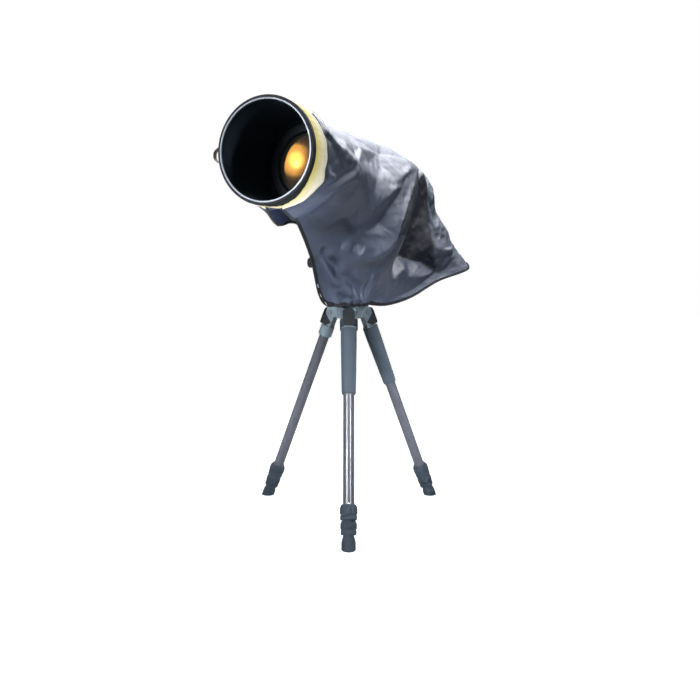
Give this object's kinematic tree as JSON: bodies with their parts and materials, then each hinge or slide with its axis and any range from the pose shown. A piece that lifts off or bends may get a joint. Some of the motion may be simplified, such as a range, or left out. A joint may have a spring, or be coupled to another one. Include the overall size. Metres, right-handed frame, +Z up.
{
  "type": "covered telephoto camera on tripod",
  "caption": "Camera with a long telephoto lens under a rain cover with an elastic cuff, on a pan and tilt head and a twist-lock tripod whose legs are collapsed.",
  "frame": {"origin": "on the floor, on the turning axis of the head, at the centre of the circle of the three soles", "axes": "+Z up, the lens looks along -Y, +X is to the right for someone who looks into the lens"},
  "size_m": [0.4696, 0.8518, 0.9213],
  "materials": {
    "grey_casting": "grey-blue painted casting",
    "tube_grey": "anodised slate grey",
    "black_plastic": "black moulded plastic",
    "lock_plastic": "dark grey plastic",
    "grip_foam": "soft dark grey foam rubber",
    "foot_rubber": "dark rubber",
    "steel": "bright steel",
    "head_black": "black painted casting",
    "plate_alloy": "bead-blasted alloy",
    "lens_paint": "pale enamel",
    "lens_black": "black anodised",
    "focus_rubber": "ribbed black rubber",
    "glass_amber": "amber coated optical glass",
    "glass_clear": "coated optical glass",
    "chrome": "polished bayonet",
    "hood_shell": "black composite, flocked inside",
    "hood_rubber": "black rubber",
    "bezel_alloy": "satin grey alloy",
    "camera_black": "textured black",
    "nylon": "coated slate grey nylon",
    "cuff_yellow": "pale yellow elastic",
    "strap_grey": "grey webbing"
  },
  "bodies": {
    "crown": {"spider": "grey_casting", "hinge_bolts": "steel"},
    "column_lock": {"column_lock": "lock_plastic"},
    "column": {"centre_column": "tube_grey", "column_cap": "lock_plastic", "head_base": "head_black"},
    "pan": {"pan_housing": "head_black", "tilt_axle": "steel"},
    "pan_knob": {"pan_knob": "black_plastic"},
    "tilt_knob": {"tilt_knob": "black_plastic"},
    "tilt": {"tilt_cradle": "head_black", "clamp_base": "head_black", "quick_plate": "plate_alloy", "lens_foot": "lens_paint", "lens_collar": "lens_paint", "rain_cover": "nylon", "cover_cuff": "cuff_yellow", "cuff_strap": "strap_grey"},
    "clamp_knob": {"clamp_knob": "black_plastic"},
    "collar_knob": {"collar_knob": "black_plastic"},
    "lens": {"lens_barrel": "lens_paint", "front_ring": "lens_black", "front_element": "glass_amber", "rear_element": "glass_clear", "bayonet_ring": "chrome", "lens_hood": "hood_shell", "hood_bezel": "bezel_alloy", "hood_bumper": "hood_rubber", "camera_body": "camera_black", "eyecup": "hood_rubber"},
    "focus_ring": {"focus_ring": "focus_rubber"},
    "hood_knob": {"hood_knob": "black_plastic"},
    "shutter_button": {"shutter_button": "steel"},
    "mode_dial": {"mode_dial": "black_plastic"},
    "leg_front": {"leg_yoke_front": "grey_casting", "leg_tube_upper_front": "tube_grey", "leg_grip_front": "grip_foam"},
    "latch_front": {"angle_latch_front": "black_plastic"},
    "upper_lock_front": {"upper_lock_front": "lock_plastic"},
    "middle_front": {"leg_tube_middle_front": "tube_grey"},
    "lower_lock_front": {"lower_lock_front": "lock_plastic"},
    "lower_front": {"leg_tube_lower_front": "tube_grey", "foot_pad_front": "foot_rubber"},
    "leg_right": {"leg_yoke_right": "grey_casting", "leg_tube_upper_right": "tube_grey", "leg_grip_right": "grip_foam"},
    "latch_right": {"angle_latch_right": "black_plastic"},
    "upper_lock_right": {"upper_lock_right": "lock_plastic"},
    "middle_right": {"leg_tube_middle_right": "tube_grey"},
    "lower_lock_right": {"lower_lock_right": "lock_plastic"},
    "lower_right": {"leg_tube_lower_right": "tube_grey", "foot_pad_right": "foot_rubber"},
    "leg_left": {"leg_yoke_left": "grey_casting", "leg_tube_upper_left": "tube_grey"},
    "latch_left": {"angle_latch_left": "black_plastic"},
    "upper_lock_left": {"upper_lock_left": "lock_plastic"},
    "middle_left": {"leg_tube_middle_left": "tube_grey"},
    "lower_lock_left": {"lower_lock_left": "lock_plastic"},
    "lower_left": {"leg_tube_lower_left": "tube_grey", "foot_pad_left": "foot_rubber"}
  },
  "joints": [
    {"name": "leg_hinge_front", "type": "hinge", "parent": "crown", "child": "leg_front", "pos_m": [0.0162, -0.04198, 0.49299], "axis": [-0.933, -0.36, 0], "range_deg": [-22, 0]},
    {"name": "latch_pull_front", "type": "slide", "parent": "leg_front", "child": "latch_front", "axis": [0.3324, -0.8613, 0.3843], "range_m": [0, 0.005], "stiffness_N_per_m": 400, "springref_m": -0.002},
    {"name": "upper_lock_turn_front", "type": "hinge", "parent": "leg_front", "child": "upper_lock_front", "pos_m": [0.07845, -0.20332, 0.07755], "axis": [-0.1383, 0.3585, 0.9232], "range_deg": [0, 90]},
    {"name": "middle_slide_front", "type": "slide", "parent": "leg_front", "child": "middle_front", "axis": [0.1383, -0.3585, -0.9232], "range_m": [0, 0.3]},
    {"name": "lower_lock_turn_front", "type": "hinge", "parent": "middle_front", "child": "lower_lock_front", "pos_m": [0.08399, -0.21766, 0.04062], "axis": [-0.1383, 0.3585, 0.9232], "range_deg": [0, 90]},
    {"name": "lower_slide_front", "type": "slide", "parent": "middle_front", "child": "lower_front", "axis": [0.1383, -0.3585, -0.9232], "range_m": [0, 0.3]},
    {"name": "leg_hinge_right", "type": "hinge", "parent": "crown", "child": "leg_right", "pos_m": [0.02826, 0.03502, 0.49299], "axis": [0.7782, -0.628, 0], "range_deg": [-22, 0]},
    {"name": "latch_pull_right", "type": "slide", "parent": "leg_right", "child": "latch_right", "axis": [0.5797, 0.7185, 0.3843], "range_m": [0, 0.005], "stiffness_N_per_m": 400, "springref_m": -0.002},
    {"name": "upper_lock_turn_right", "type": "hinge", "parent": "leg_right", "child": "upper_lock_right", "pos_m": [0.13685, 0.16961, 0.07755], "axis": [-0.2413, -0.2991, 0.9232], "range_deg": [0, 90]},
    {"name": "middle_slide_right", "type": "slide", "parent": "leg_right", "child": "middle_right", "axis": [0.2413, 0.2991, -0.9232], "range_m": [0, 0.3]},
    {"name": "lower_lock_turn_right", "type": "hinge", "parent": "middle_right", "child": "lower_lock_right", "pos_m": [0.14651, 0.18157, 0.04062], "axis": [-0.2413, -0.2991, 0.9232], "range_deg": [0, 90]},
    {"name": "lower_slide_right", "type": "slide", "parent": "middle_right", "child": "lower_right", "axis": [0.2413, 0.2991, -0.9232], "range_m": [0, 0.3]},
    {"name": "leg_hinge_left", "type": "hinge", "parent": "crown", "child": "leg_left", "pos_m": [-0.04446, 0.00696, 0.49299], "axis": [0.1547, 0.988, 0], "range_deg": [-22, 0]},
    {"name": "latch_pull_left", "type": "slide", "parent": "leg_left", "child": "latch_left", "axis": [-0.9121, 0.1428, 0.3843], "range_m": [0, 0.005], "stiffness_N_per_m": 400, "springref_m": -0.002},
    {"name": "upper_lock_turn_left", "type": "hinge", "parent": "leg_left", "child": "upper_lock_left", "pos_m": [-0.21531, 0.03372, 0.07755], "axis": [0.3797, -0.0595, 0.9232], "range_deg": [0, 90]},
    {"name": "middle_slide_left", "type": "slide", "parent": "leg_left", "child": "middle_left", "axis": [-0.3797, 0.0595, -0.9232], "range_m": [0, 0.3]},
    {"name": "lower_lock_turn_left", "type": "hinge", "parent": "middle_left", "child": "lower_lock_left", "pos_m": [-0.2305, 0.0361, 0.04062], "axis": [0.3797, -0.0595, 0.9232], "range_deg": [0, 90]},
    {"name": "lower_slide_left", "type": "slide", "parent": "middle_left", "child": "lower_left", "axis": [-0.3797, 0.0595, -0.9232], "range_m": [0, 0.3]},
    {"name": "column_lock_turn", "type": "hinge", "parent": "crown", "child": "column_lock", "pos_m": [0, 0, 0.46299], "axis": [0, 0, 1], "range_deg": [0, 90]},
    {"name": "column_lift", "type": "slide", "parent": "crown", "child": "column", "axis": [0, 0, 1], "range_m": [0, 0.1]},
    {"name": "pan_turn", "type": "hinge", "parent": "column", "child": "pan", "pos_m": [0, 0, 0.53399], "axis": [0, 0, 1], "continuous": true},
    {"name": "pan_knob_turn", "type": "hinge", "parent": "pan", "child": "pan_knob", "pos_m": [0, 0.04, 0.54699], "axis": [0, 1, 0], "range_deg": [0, 180]},
    {"name": "tilt_knob_turn", "type": "hinge", "parent": "pan", "child": "tilt_knob", "pos_m": [-0.09, 0, 0.61299], "axis": [-1, 0, 0], "range_deg": [0, 180]},
    {"name": "tilt_rock", "type": "hinge", "parent": "pan", "child": "tilt", "pos_m": [0, 0, 0.61299], "axis": [-1, 0, 0], "range_deg": [-20, 35], "deforming": ["rain_cover"]},
    {"name": "clamp_knob_turn", "type": "hinge", "parent": "tilt", "child": "clamp_knob", "pos_m": [0.08, 0, 0.66799], "axis": [1, 0, 0], "range_deg": [0, 180]},
    {"name": "collar_knob_turn", "type": "hinge", "parent": "tilt", "child": "collar_knob", "pos_m": [-0.08, 0, 0.80699], "axis": [-1, 0, 0], "range_deg": [0, 180]},
    {"name": "lens_roll", "type": "hinge", "parent": "tilt", "child": "lens", "pos_m": [0, 0, 0.80699], "axis": [0, -1, 0], "range_deg": [-90, 90]},
    {"name": "focus_turn", "type": "hinge", "parent": "lens", "child": "focus_ring", "pos_m": [0, -0.06, 0.80699], "axis": [0, -1, 0], "range_deg": [0, 120]},
    {"name": "hood_knob_turn", "type": "hinge", "parent": "lens", "child": "hood_knob", "pos_m": [0, -0.221, 0.90149], "axis": [0, 0, 1], "range_deg": [0, 180]},
    {"name": "shutter_press", "type": "slide", "parent": "lens", "child": "shutter_button", "axis": [0, 0, -1], "range_m": [0, 0.0015], "stiffness_N_per_m": 800, "springref_m": -0.0005},
    {"name": "mode_dial_turn", "type": "hinge", "parent": "lens", "child": "mode_dial", "pos_m": [0.05, 0.2675, 0.85199], "axis": [0, 0, 1], "continuous": true}
  ]
}
